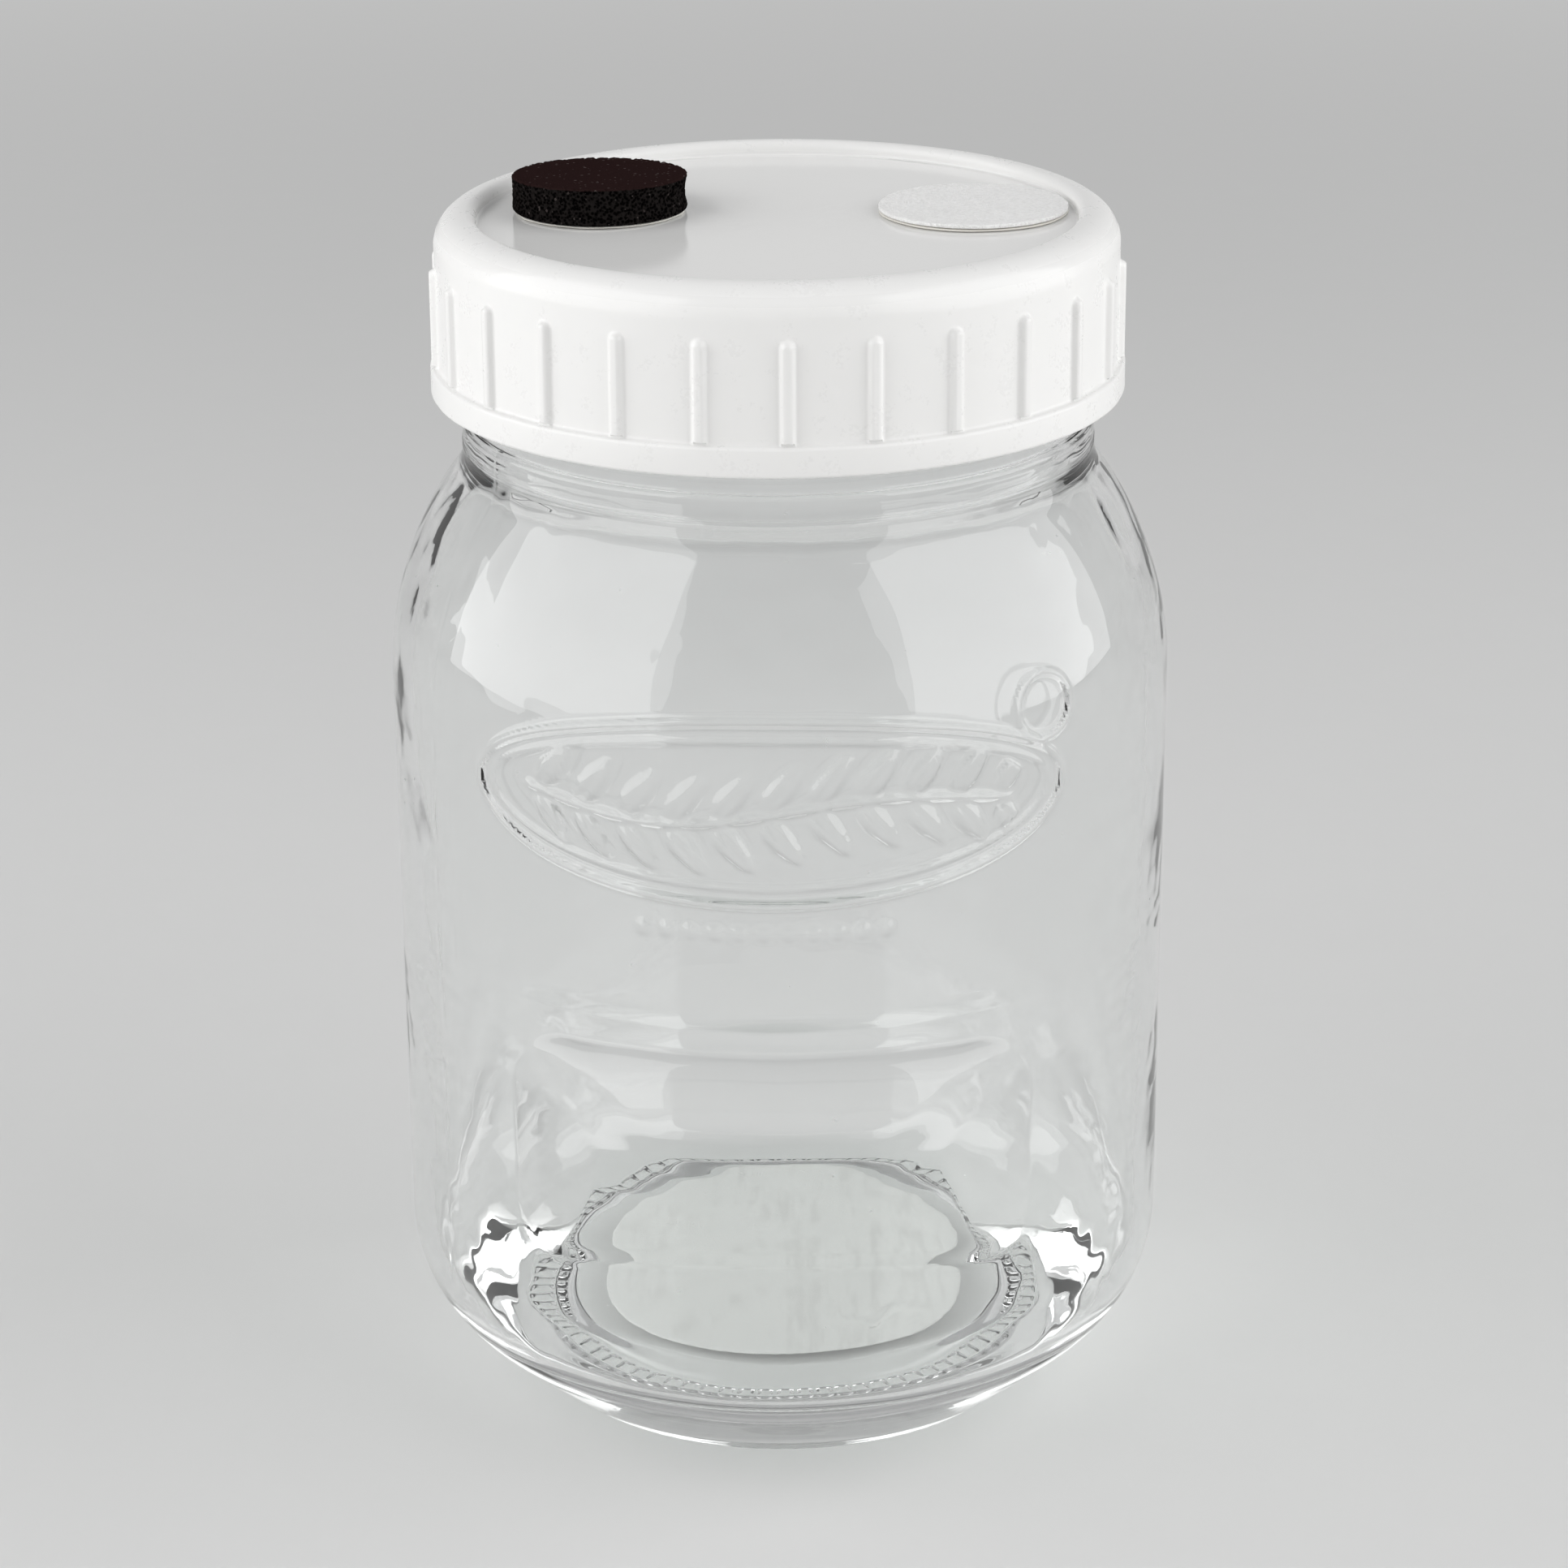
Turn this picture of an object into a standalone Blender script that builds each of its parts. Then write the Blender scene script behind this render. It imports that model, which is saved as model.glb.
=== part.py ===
"""A one-litre liquid culture jar: blown-glass jar, ribbed screw lid with its seal,
injection port, air filter and base label. Metres, +Z up. The origin is the middle of
the base on the surface that the jar stands on; the front of the jar faces -Y."""

from math import acos, asin, cos, pi, radians, sin, sqrt, tan

import bmesh
import bpy
from mathutils import Matrix, Vector

# Clearances
SEAT_GAP = 0.0003  # between two pieces that touch
FILM_GAP = 0.00015  # between an adhesive film and what it holds
THREAD_CLEARANCE = 0.00045  # radial play of the screw on each side

# Glass body
BODY_RADIUS = 0.0520
SIDE_HEIGHT = 0.0784  # straight stretch of the wall
WALL = 0.0030
BASE_THICKNESS = 0.0060  # at the middle of the base
HEEL_SLOPE = radians(41)  # of the cone between the foot and the heel's curve
HEEL_ROUND = 0.018
INNER_HEEL_WIDTH = 0.0090  # of the oval curve from the inner wall to the floor
INNER_HEEL_HEIGHT = 0.0220
FOOT_RADIUS = 0.0354  # outer edge of the ring that the jar stands on
FOOT_WIDTH = 0.0026
FOOT_EDGE = 0.0005
PUSH_UP = 0.0040  # how far the base is hollowed inside the foot
PUSH_UP_SLOPE = radians(50)
SHOULDER_ROUND = 0.0465

# Neck of the jar
BORE_RADIUS = 0.0368
FINISH_WALL = 0.0040  # glass between the bore and the root of the thread
FINISH_HEIGHT = 0.0218  # from the collar's top to the rim
COLLAR_STAND = 0.0008  # the collar beyond the root of the thread
COLLAR_HEIGHT = 0.0037
COLLAR_EDGE = 0.0007
THROAT_FILLET = 0.0060  # between the shoulder and the neck, inside and out
RIM_EDGE = 0.0009

# Screw: a bead on the glass and a lower one in the lid that hooks under it
THREAD_LEAD = 0.00508  # five turns to the inch, right-hand
THREAD_STAND = 0.0013  # the bead on the glass beyond its root
THREAD_ROOT_WIDTH = 0.0024
THREAD_CREST_WIDTH = 0.0011
THREAD_TURNS = 1.2
THREAD_TOP = 0.0034  # the top end of the glass bead below the rim
THREAD_START = radians(20)  # azimuth of that end from +X
THREAD_FADE = radians(25)  # over this turn each end of a bead sinks into its wall
THREAD_SINK = 0.0004  # how far a bead reaches into the wall that carries it

# Lid
LID_HEIGHT = 0.0237
SKIRT_WALL = 0.0021
PLATE_THICKNESS = 0.0016
LID_RIM_STAND = 0.0018  # the rim above the recessed panel
LID_RIM_WIDTH = 0.0055
LID_RIM_EDGE = 0.0012  # radius of the rim's inner top edge
LID_CORNER = 0.0042  # radius of the lid's outer top edge
BAND_HEIGHT = 0.0040
BAND_STAND = 0.0009
BAND_EDGE = 0.0005
RIB_COUNT = 26
RIB_STAND = 0.0008
RIB_FOOT_WIDTH = 0.0021
RIB_CREST_WIDTH = 0.0013
RIB_TOP_GAP = 0.0024  # from a rib's top end to the lid's rounded edge
RIB_SLOPE_LENGTH = 0.0009  # the sloping top end of a rib
RIB_SINK = 0.0007  # how far a rib reaches into the wall that carries it
RIB_PHASE = radians(1.5)  # from the front towards +X

# Seal
SEAL_THICKNESS = 0.0012
SEAL_OVERHANG = 0.0003  # past the glass rim on both sides

# Injection port
PORT_AZIMUTH = radians(165.6)
PORT_INSET = 0.0040  # from the lid's rim
PORT_RADIUS = 0.0110
PORT_HEIGHT = 0.0038
PORT_FLARE = 0.0004  # its foot beyond the top edge
PORT_WAIST = 0.0002  # its narrowest stretch inside the top edge
PORT_EDGE = 0.0005
NEEDLE_HOLE_RADIUS = 0.0030

# Air filter
FILTER_AZIMUTH = radians(8)
FILTER_INSET = 0.0008  # from the lid's rim
FILTER_RADIUS = 0.0124
FILTER_THICKNESS = 0.0005
VENT_HOLE_RADIUS = 0.0040
VENT_BORDER = 0.0020  # the adhesive ring starts this far outside the vent hole

FILM_THICKNESS = 0.0002

# Label under the base
LABEL_RADIUS = 0.0252
LABEL_THICKNESS = 0.0003

# Facets
JAR_STEPS = 64
LID_STEPS = 3 * RIB_COUNT
DISC_STEPS = 40
HOLE_STEPS = 24
ARC_TOLERANCE = 0.00012  # between an arc of a profile and its chords
SHARP_ANGLE = radians(35)


def polar(radius, azimuth):
    return radius * cos(azimuth), radius * sin(azimuth)


def arc(centre, radius, start, end):
    """Points on an arc in the (radius, height) plane, its ends included."""
    step_angle = 2 * acos(1 - min(ARC_TOLERANCE / radius, 1))
    count = max(2, round(abs(end - start) / step_angle))
    angles = [start + (end - start) * step / count for step in range(count + 1)]
    return [(centre[0] + radius * cos(a), centre[1] + radius * sin(a)) for a in angles]


def oval_arc(centre, half_width, half_height, start, end):
    """Points on an arc of an upright oval, a circle's arc drawn in towards its middle."""
    share = half_width / half_height
    return [(centre[0] + (r - centre[0]) * share, z) for r, z in arc(centre, half_height, start, end)]


def rounded_corner(corner, radius, start):
    """A quarter arc that rounds a square corner, turning clockwise from angle start."""
    middle = start - pi / 4
    reach = radius * sqrt(2)
    centre = (corner[0] - reach * cos(middle), corner[1] - reach * sin(middle))
    return arc(centre, radius, start, start - pi / 2)


def material(name, colour, roughness, transmission=0.0):
    made = bpy.data.materials.new(name)
    made.use_nodes = True
    shader = made.node_tree.nodes["Principled BSDF"]
    shader.inputs["Base Color"].default_value = (*colour, 1)
    shader.inputs["Roughness"].default_value = roughness
    shader.inputs["Metallic"].default_value = 0
    shader.inputs["Transmission Weight"].default_value = transmission
    return made


def turned(name, profile, steps, finish, closed=False):
    """A body turned about Z from a profile that runs down its outer side."""
    mesh = bpy.data.meshes.new(name)
    count = len(profile)
    edges = [(i, (i + 1) % count) for i in range(count if closed else count - 1)]
    mesh.from_pydata([(r, 0, z) for r, z in profile], edges, [])
    mesh.materials.append(finish)
    body = bpy.data.objects.new(name, mesh)
    bpy.context.scene.collection.objects.link(body)
    spin = body.modifiers.new("turn", "SCREW")
    spin.steps = steps
    spin.render_steps = steps
    spin.use_merge_vertices = True
    spin.merge_threshold = 1e-6
    spin.use_smooth_shade = True
    return body


def helper(name, mesh):
    """An object that only shapes another one."""
    made = bpy.data.objects.new(name, mesh)
    bpy.context.scene.collection.objects.link(made)
    made.hide_render = True
    made.display_type = "WIRE"
    return made


def combine(body, other, operation):
    change = body.modifiers.new(other.name, "BOOLEAN")
    change.operation = operation
    change.solver = "EXACT"
    change.object = other


def settle(body):
    """Turns the body's modifiers into its mesh, shaded smooth between its sharp edges."""
    graph = bpy.context.evaluated_depsgraph_get()
    mesh = bpy.data.meshes.new_from_object(body.evaluated_get(graph))
    body.modifiers.clear()
    body.data = mesh
    mesh.name = body.name
    mesh.shade_smooth()
    mesh.set_sharp_from_angle(angle=SHARP_ANGLE)


def hole_cutter(name, place, radius):
    """An upright rod through the panel of the lid."""
    mesh = bpy.data.meshes.new(name)
    rod = bmesh.new()
    length = 2 * PLATE_THICKNESS
    bmesh.ops.create_cone(
        rod, cap_ends=True, segments=HOLE_STEPS, radius1=radius, radius2=radius, depth=length
    )
    rod.to_mesh(mesh)
    rod.free()
    cutter = helper(name, mesh)
    cutter.location = (*place, (PLATE_BOTTOM + PANEL_TOP) / 2)
    return cutter


def thread_mesh(name, root, crest, top, steps):
    """A bead on a right-hand helix, from the wall at radius root to its crest.
    Its top end lies at height top, and each end fades into the wall."""
    outward = 1 if crest > root else -1
    count = round(THREAD_TURNS * steps)
    total = 2 * pi * THREAD_TURNS
    foot = root - outward * THREAD_SINK
    faded = root - outward * THREAD_SINK / 2
    half_root = THREAD_ROOT_WIDTH / 2
    half_crest = THREAD_CREST_WIDTH / 2
    points = []
    for number in range(count + 1):
        back = total * number / count
        share = min(1, back / THREAD_FADE, (total - back) / THREAD_FADE)
        stand = faded + (crest - faded) * share
        height = top - THREAD_LEAD * back / (2 * pi)
        section = ((foot, half_root), (stand, half_crest), (stand, -half_crest), (foot, -half_root))
        points += [(*polar(r, THREAD_START - back), height + z) for r, z in section]
    faces = [(0, 1, 2, 3), tuple(4 * count + i for i in (3, 2, 1, 0))]
    for number in range(count):
        near = 4 * number
        for i in range(4):
            j = (i + 1) % 4
            faces.append((near + i, near + 4 + i, near + 4 + j, near + j))
    if outward < 0:
        faces = [tuple(reversed(face)) for face in faces]
    mesh = bpy.data.meshes.new(name)
    mesh.from_pydata(points, [], faces)
    return mesh


def throat(axis_radius, shoulder_centre, shoulder_radius):
    """The fillet from the shoulder's arc to a neck of this radius: centre and angle."""
    across = axis_radius + THROAT_FILLET - shoulder_centre[0]
    reach = shoulder_radius + THROAT_FILLET
    up = sqrt(reach * reach - across * across)
    centre = (shoulder_centre[0] + across, shoulder_centre[1] + up)
    return centre, asin(up / reach)


# Heights and radii that follow from the driving dimensions
HEEL_CONE_WIDTH = BODY_RADIUS - HEEL_ROUND + HEEL_ROUND * sin(HEEL_SLOPE) - FOOT_RADIUS
HEEL_TOP = HEEL_CONE_WIDTH * tan(HEEL_SLOPE) + HEEL_ROUND * cos(HEEL_SLOPE)
SHOULDER_CENTRE = (BODY_RADIUS - SHOULDER_ROUND, HEEL_TOP + SIDE_HEIGHT)
NECK_RADIUS = BORE_RADIUS + FINISH_WALL
COLLAR_RADIUS = NECK_RADIUS + COLLAR_STAND
COLLAR_FILLET_CENTRE, COLLAR_ANGLE = throat(COLLAR_RADIUS, SHOULDER_CENTRE, SHOULDER_ROUND)
BORE_FILLET_CENTRE, BORE_ANGLE = throat(BORE_RADIUS, SHOULDER_CENTRE, SHOULDER_ROUND - WALL)
COLLAR_TOP = COLLAR_FILLET_CENTRE[1] + COLLAR_HEIGHT
RIM_TOP = COLLAR_TOP + FINISH_HEIGHT
SEAL_TOP = RIM_TOP + SEAT_GAP + SEAL_THICKNESS
PLATE_BOTTOM = SEAL_TOP + SEAT_GAP
PANEL_TOP = PLATE_BOTTOM + PLATE_THICKNESS
LID_TOP = PANEL_TOP + LID_RIM_STAND
LID_BOTTOM = LID_TOP - LID_HEIGHT
THREAD_CREST = NECK_RADIUS + THREAD_STAND
SKIRT_BORE = THREAD_CREST + THREAD_CLEARANCE
HOOK_DROP = (THREAD_ROOT_WIDTH + THREAD_CREST_WIDTH) / 2 + SEAT_GAP  # of the lid's bead
SIDE_RADIUS = SKIRT_BORE + SKIRT_WALL
BAND_RADIUS = SIDE_RADIUS + BAND_STAND
BAND_TOP = LID_BOTTOM + BAND_HEIGHT
PANEL_RADIUS = SIDE_RADIUS - LID_RIM_WIDTH
PORT_PLACE = polar(PANEL_RADIUS - PORT_INSET - PORT_RADIUS - PORT_FLARE, PORT_AZIMUTH)
FILTER_PLACE = polar(PANEL_RADIUS - FILTER_INSET - FILTER_RADIUS, FILTER_AZIMUTH)
FILM_BOTTOM = PANEL_TOP + FILM_GAP
FILM_TOP = FILM_BOTTOM + FILM_THICKNESS


def glass_jar():
    floor = PUSH_UP + BASE_THICKNESS
    inner_centre = (BODY_RADIUS - WALL - INNER_HEEL_WIDTH, floor + INNER_HEEL_HEIGHT)
    inside = [(0, floor)]
    inside += oval_arc(inner_centre, INNER_HEEL_WIDTH, INNER_HEEL_HEIGHT, -pi / 2, 0)
    inside += arc(SHOULDER_CENTRE, SHOULDER_ROUND - WALL, 0, BORE_ANGLE)
    inside += arc(BORE_FILLET_CENTRE, THROAT_FILLET, pi + BORE_ANGLE, pi)[1:]
    rim = rounded_corner((BORE_RADIUS, RIM_TOP), RIM_EDGE, pi)
    rim += rounded_corner((NECK_RADIUS, RIM_TOP), RIM_EDGE, pi / 2)
    collar = [(NECK_RADIUS, COLLAR_TOP)]
    collar += rounded_corner((COLLAR_RADIUS, COLLAR_TOP), COLLAR_EDGE, pi / 2)
    outside = arc(COLLAR_FILLET_CENTRE, THROAT_FILLET, pi, pi + COLLAR_ANGLE)
    outside += arc(SHOULDER_CENTRE, SHOULDER_ROUND, COLLAR_ANGLE, 0)[1:]
    heel_centre = (BODY_RADIUS - HEEL_ROUND, HEEL_TOP)
    outside += arc(heel_centre, HEEL_ROUND, 0, HEEL_SLOPE - pi / 2)
    foot_edge_up = (FOOT_RADIUS + FOOT_EDGE * cos(HEEL_SLOPE), FOOT_EDGE * sin(HEEL_SLOPE))
    foot_inner = FOOT_RADIUS - FOOT_WIDTH
    recess_radius = foot_inner - PUSH_UP / tan(PUSH_UP_SLOPE)
    foot = [foot_edge_up, (FOOT_RADIUS - FOOT_EDGE, 0), (foot_inner, 0)]
    foot += [(recess_radius, PUSH_UP), (0, PUSH_UP)]
    glass = material("clear_glass", (0.95, 0.97, 0.96), 0.02, transmission=1.0)
    jar = turned("glass_jar", inside + rim + collar + outside + foot, JAR_STEPS, glass)
    bead = thread_mesh("glass_bead", NECK_RADIUS, THREAD_CREST, RIM_TOP - THREAD_TOP, JAR_STEPS)
    combine(jar, helper("glass_bead", bead), "UNION")
    return jar


def rib_mesh():
    """All the ribs of the lid's side, each sunk a little into the wall and the band."""
    low = BAND_TOP - BAND_EDGE
    high = LID_TOP - LID_CORNER - RIB_TOP_GAP
    crest = SIDE_RADIUS + RIB_STAND
    root = SIDE_RADIUS - RIB_SINK
    root_rise = RIB_SLOPE_LENGTH * RIB_SINK / RIB_STAND
    side = [(root, low), (crest, low), (crest, high - RIB_SLOPE_LENGTH), (root, high + root_rise)]
    points = []
    faces = []
    for number in range(RIB_COUNT):
        turn = Matrix.Rotation(RIB_PHASE + 2 * pi * number / RIB_COUNT, 3, "Z")
        first = len(points)
        for direction in (-1, 1):
            for r, z in side:
                width = RIB_CREST_WIDTH if r == crest else RIB_FOOT_WIDTH
                points.append(turn @ Vector((direction * width / 2, -r, z)))
        left = [first + i for i in range(4)]
        right = [first + 4 + i for i in range(4)]
        faces += [tuple(reversed(left)), tuple(right)]
        for i in range(4):
            j = (i + 1) % 4
            faces.append((left[i], left[j], right[j], right[i]))
    mesh = bpy.data.meshes.new("lid_ribs")
    mesh.from_pydata(points, [], faces)
    return mesh


def screw_lid():
    top = [(0, PANEL_TOP), (PANEL_RADIUS, PANEL_TOP)]
    top += arc((PANEL_RADIUS + LID_RIM_EDGE, LID_TOP - LID_RIM_EDGE), LID_RIM_EDGE, pi, pi / 2)
    top += rounded_corner((SIDE_RADIUS, LID_TOP), LID_CORNER, pi / 2)
    band = [(SIDE_RADIUS, BAND_TOP)]
    band += rounded_corner((BAND_RADIUS, BAND_TOP), BAND_EDGE, pi / 2)
    band += rounded_corner((BAND_RADIUS, LID_BOTTOM), BAND_EDGE, 0)
    under = [(SKIRT_BORE, LID_BOTTOM), (SKIRT_BORE, PLATE_BOTTOM), (0, PLATE_BOTTOM)]
    white = material("white_polypropylene", (0.90, 0.89, 0.87), 0.35)
    lid = turned("screw_lid", top + band + under, LID_STEPS, white)
    combine(lid, helper("lid_ribs", rib_mesh()), "UNION")
    bead_top = RIM_TOP - THREAD_TOP - HOOK_DROP
    bead = thread_mesh("lid_bead", SKIRT_BORE, NECK_RADIUS + THREAD_CLEARANCE, bead_top, LID_STEPS)
    combine(lid, helper("lid_bead", bead), "UNION")
    combine(lid, hole_cutter("needle_hole", PORT_PLACE, NEEDLE_HOLE_RADIUS), "DIFFERENCE")
    combine(lid, hole_cutter("vent_hole", FILTER_PLACE, VENT_HOLE_RADIUS), "DIFFERENCE")
    return lid


def ring(name, inner, outer, bottom, top, steps, finish):
    profile = [(inner, top), (outer, top), (outer, bottom), (inner, bottom)]
    return turned(name, profile, steps, finish, closed=True)


def disc(name, radius, bottom, top, finish):
    return turned(name, [(0, top), (radius, top), (radius, bottom), (0, bottom)], DISC_STEPS, finish)


def lid_seal_ring():
    silicone = material("silicone", (0.80, 0.80, 0.78), 0.55)
    inner = BORE_RADIUS - SEAL_OVERHANG
    outer = NECK_RADIUS + SEAL_OVERHANG
    return ring("lid_seal_ring", inner, outer, RIM_TOP + SEAT_GAP, SEAL_TOP, JAR_STEPS, silicone)


def injection_port(adhesive):
    film = disc("foam_adhesive_disc", PORT_RADIUS, FILM_BOTTOM, FILM_TOP, adhesive)
    bottom = FILM_TOP + FILM_GAP
    top = bottom + PORT_HEIGHT
    middle = (bottom + top) / 2
    profile = [(0, top)]
    profile += rounded_corner((PORT_RADIUS, top), PORT_EDGE, pi / 2)
    profile += [(PORT_RADIUS - PORT_WAIST, middle), (PORT_RADIUS + PORT_FLARE, bottom), (0, bottom)]
    foam = material("black_foam", (0.020, 0.012, 0.014), 0.7)
    port = turned("foam_port_disc", profile, DISC_STEPS, foam)
    return [film, port]


def air_filter(adhesive):
    inner = VENT_HOLE_RADIUS + VENT_BORDER
    film = ring("filter_adhesive_ring", inner, FILTER_RADIUS, FILM_BOTTOM, FILM_TOP, DISC_STEPS, adhesive)
    fibre = material("filter_fibre", (0.88, 0.87, 0.85), 0.85)
    bottom = FILM_TOP + FILM_GAP
    pad = disc("filter_disc", FILTER_RADIUS, bottom, bottom + FILTER_THICKNESS, fibre)
    return [film, pad]


def base_label():
    paper = material("label_paper", (0.86, 0.85, 0.83), 0.8)
    top = PUSH_UP - SEAT_GAP
    return disc("base_label", LABEL_RADIUS, top - LABEL_THICKNESS, top, paper)


def build():
    for old in list(bpy.data.objects):
        bpy.data.objects.remove(old)
    jar = glass_jar()
    label = base_label()
    label.parent = jar
    seal = lid_seal_ring()
    lid = screw_lid()
    adhesive = material("adhesive_film", (0.80, 0.78, 0.72), 0.5)
    for place, pieces in ((PORT_PLACE, injection_port(adhesive)), (FILTER_PLACE, air_filter(adhesive))):
        for piece in pieces:
            piece.location = (*place, 0)
            piece.parent = lid
    bpy.context.view_layer.update()
    for body in [jar, seal, *jar.children, lid, *lid.children]:
        settle(body)


build()
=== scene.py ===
from math import asin, cos, degrees, hypot, pi, radians, sin, sqrt, tan

import bmesh
import bpy
import numpy as np
from mathutils import Matrix, Vector, noise


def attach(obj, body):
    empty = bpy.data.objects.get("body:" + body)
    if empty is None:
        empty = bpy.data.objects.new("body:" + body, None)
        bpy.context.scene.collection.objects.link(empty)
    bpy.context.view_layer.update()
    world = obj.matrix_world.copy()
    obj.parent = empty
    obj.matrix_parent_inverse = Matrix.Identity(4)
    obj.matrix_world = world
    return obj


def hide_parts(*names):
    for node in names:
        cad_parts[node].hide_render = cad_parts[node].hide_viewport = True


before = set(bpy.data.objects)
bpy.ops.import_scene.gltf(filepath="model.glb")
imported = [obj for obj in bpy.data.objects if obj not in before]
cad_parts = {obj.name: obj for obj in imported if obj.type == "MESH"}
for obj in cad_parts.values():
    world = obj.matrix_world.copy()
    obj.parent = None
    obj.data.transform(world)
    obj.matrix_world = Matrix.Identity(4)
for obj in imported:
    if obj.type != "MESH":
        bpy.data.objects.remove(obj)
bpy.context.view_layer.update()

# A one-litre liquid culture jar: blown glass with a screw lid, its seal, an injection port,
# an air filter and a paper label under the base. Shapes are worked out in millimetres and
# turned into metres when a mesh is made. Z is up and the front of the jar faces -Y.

MM = 0.001

# Sizes of the glass: radii and heights in millimetres
BODY = 52.0
WALL = 3.0
HEEL_ROUND = 18.0
HEEL_SLOPE = radians(41)
INNER_HEEL = (4.9, 10.4)
FOOT = 35.4
FOOT_WIDTH = 2.6
PUSH_UP = 4.0
PUSH_UP_SLOPE = radians(50)
BASE_THICKNESS = 9.0
SIDE_HEIGHT = 78.4
FINE_ROWS_TOP = 68.0
ORNAMENT_BOTTOM = 80.5
SHOULDER_ROUND = 46.5
BORE = 36.8
NECK = 40.8
COLLAR = 41.6
COLLAR_HEIGHT = 3.7
FINISH_HEIGHT = 21.8
THROAT = 6.0
RIM_EDGE = 0.9
COLLAR_EDGE = 0.7
PARTING_HALF = 0.8

HEEL_TOP = (BODY - HEEL_ROUND + HEEL_ROUND * sin(HEEL_SLOPE) - FOOT) * tan(HEEL_SLOPE)
HEEL_TOP += HEEL_ROUND * cos(HEEL_SLOPE)
SHOULDER = (BODY - SHOULDER_ROUND, HEEL_TOP + SIDE_HEIGHT)
FLOOR_TOP = PUSH_UP + BASE_THICKNESS


def throat(radius, reach):
    """Centre of the fillet from the shoulder up to a neck of this radius, and its angle."""
    across = radius + THROAT - SHOULDER[0]
    up = sqrt((reach + THROAT) ** 2 - across**2)
    return (SHOULDER[0] + across, SHOULDER[1] + up), degrees(asin(up / (reach + THROAT)))


OUTER_THROAT, OUTER_THROAT_ANGLE = throat(COLLAR, SHOULDER_ROUND)
INNER_THROAT, INNER_THROAT_ANGLE = throat(BORE, SHOULDER_ROUND - WALL)
COLLAR_TOP = OUTER_THROAT[1] + COLLAR_HEIGHT
RIM_TOP = COLLAR_TOP + FINISH_HEIGHT

# Sizes of the lid
SEAT_GAP = 0.3
SEAL = 1.2
PLATE = 1.6
LID_RIM_STAND = 1.8
LID_RIM_WIDTH = 5.5
LID_RIM_ROUND = 1.2
LID_EDGE_ROUND = 4.2
BAND_EDGE = 0.5
LID_HEIGHT = 23.7
SKIRT_BORE = 42.55
LID_SIDE = 44.65
LID_BAND = 45.55
BAND_HEIGHT = 4.0
RIBS = 26
RIB_STAND = 0.8
RIB_DROP = 2.2
RIB_PHASE = radians(1.5)

SEAL_BOTTOM = RIM_TOP + SEAT_GAP
SEAL_TOP = SEAL_BOTTOM + SEAL
PLATE_BOTTOM = SEAL_TOP + SEAT_GAP
PANEL_TOP = PLATE_BOTTOM + PLATE
LID_TOP = PANEL_TOP + LID_RIM_STAND
LID_BOTTOM = LID_TOP - LID_HEIGHT
BAND_TOP = LID_BOTTOM + BAND_HEIGHT
RIB_TOP = LID_TOP - LID_EDGE_ROUND - RIB_DROP

THREAD_LEAD = 5.08
THREAD_STAND = 1.3
THREAD_TURNS = 1.2
THREAD_START = radians(20)
THREAD_FADE = radians(25)
THREAD_TOP = RIM_TOP - 3.4
HOOK_DROP = 2.05


# Profiles and skins
def arc(centre, radius, start, end, step):
    """Points of an arc in the (radius, height) plane, with angles in degrees.
    Its radius may be a pair, the half width and half height of an oval arc."""
    wide, high = radius if isinstance(radius, tuple) else (radius, radius)
    count = max(2, round(radians(abs(end - start)) * max(wide, high) / step))
    turn = np.radians(np.linspace(start, end, count + 1))
    return np.stack([centre[0] + wide * np.cos(turn), centre[1] + high * np.sin(turn)], 1)


def line(start, end, step):
    count = max(1, round(hypot(end[0] - start[0], end[1] - start[1]) / step))
    return np.linspace(start, end, count + 1)


def sweep_up(start, end, count):
    """A soft S-shaped rise between two level stretches."""
    share = np.arange(count + 1) / count
    rise = step_up(share, 0, 1)
    return np.stack([start[0] + (end[0] - start[0]) * share, start[1] + (end[1] - start[1]) * rise], 1)


def chain(stretches):
    """Joins (points, columns) stretches into one profile, with the columns of each row."""
    points, columns = [], []
    for stretch, around in stretches:
        for point in stretch:
            if points and hypot(*(point - points[-1])) < 1e-4:
                continue
            points.append(point)
            columns.append(around)
    return np.array(points), columns


def outward(profile):
    """Unit normals of a profile that goes up the inside and down the outside."""
    along = np.gradient(profile, axis=0)
    along /= np.linalg.norm(along, axis=1)[:, None]
    return np.stack([-along[:, 1], along[:, 0]], 1)


def stitch(first_near, near, first_far, far):
    """Faces between two rings whose counts are equal or differ by a whole factor."""
    if near == far:
        i = np.arange(near)
        j = (i + 1) % near
        return np.stack([first_near + i, first_far + i, first_far + j, first_near + j], 1).tolist()
    faces = []
    coarse, fine = min(near, far), max(near, far)
    a0, b0 = (first_near, first_far) if near < far else (first_far, first_near)
    part = fine // coarse
    for i in range(coarse):
        here, there = a0 + i, a0 + (i + 1) % coarse
        row = [b0 + (part * i + k) % fine for k in range(part + 1)]
        middle = part // 2
        fan = [(here, row[k], row[k + 1]) for k in range(middle)]
        fan.append((here, row[middle], there))
        fan += [(there, row[k], row[k + 1]) for k in range(middle, part)]
        faces += fan if near < far else [tuple(reversed(face)) for face in fan]
    return faces


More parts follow.
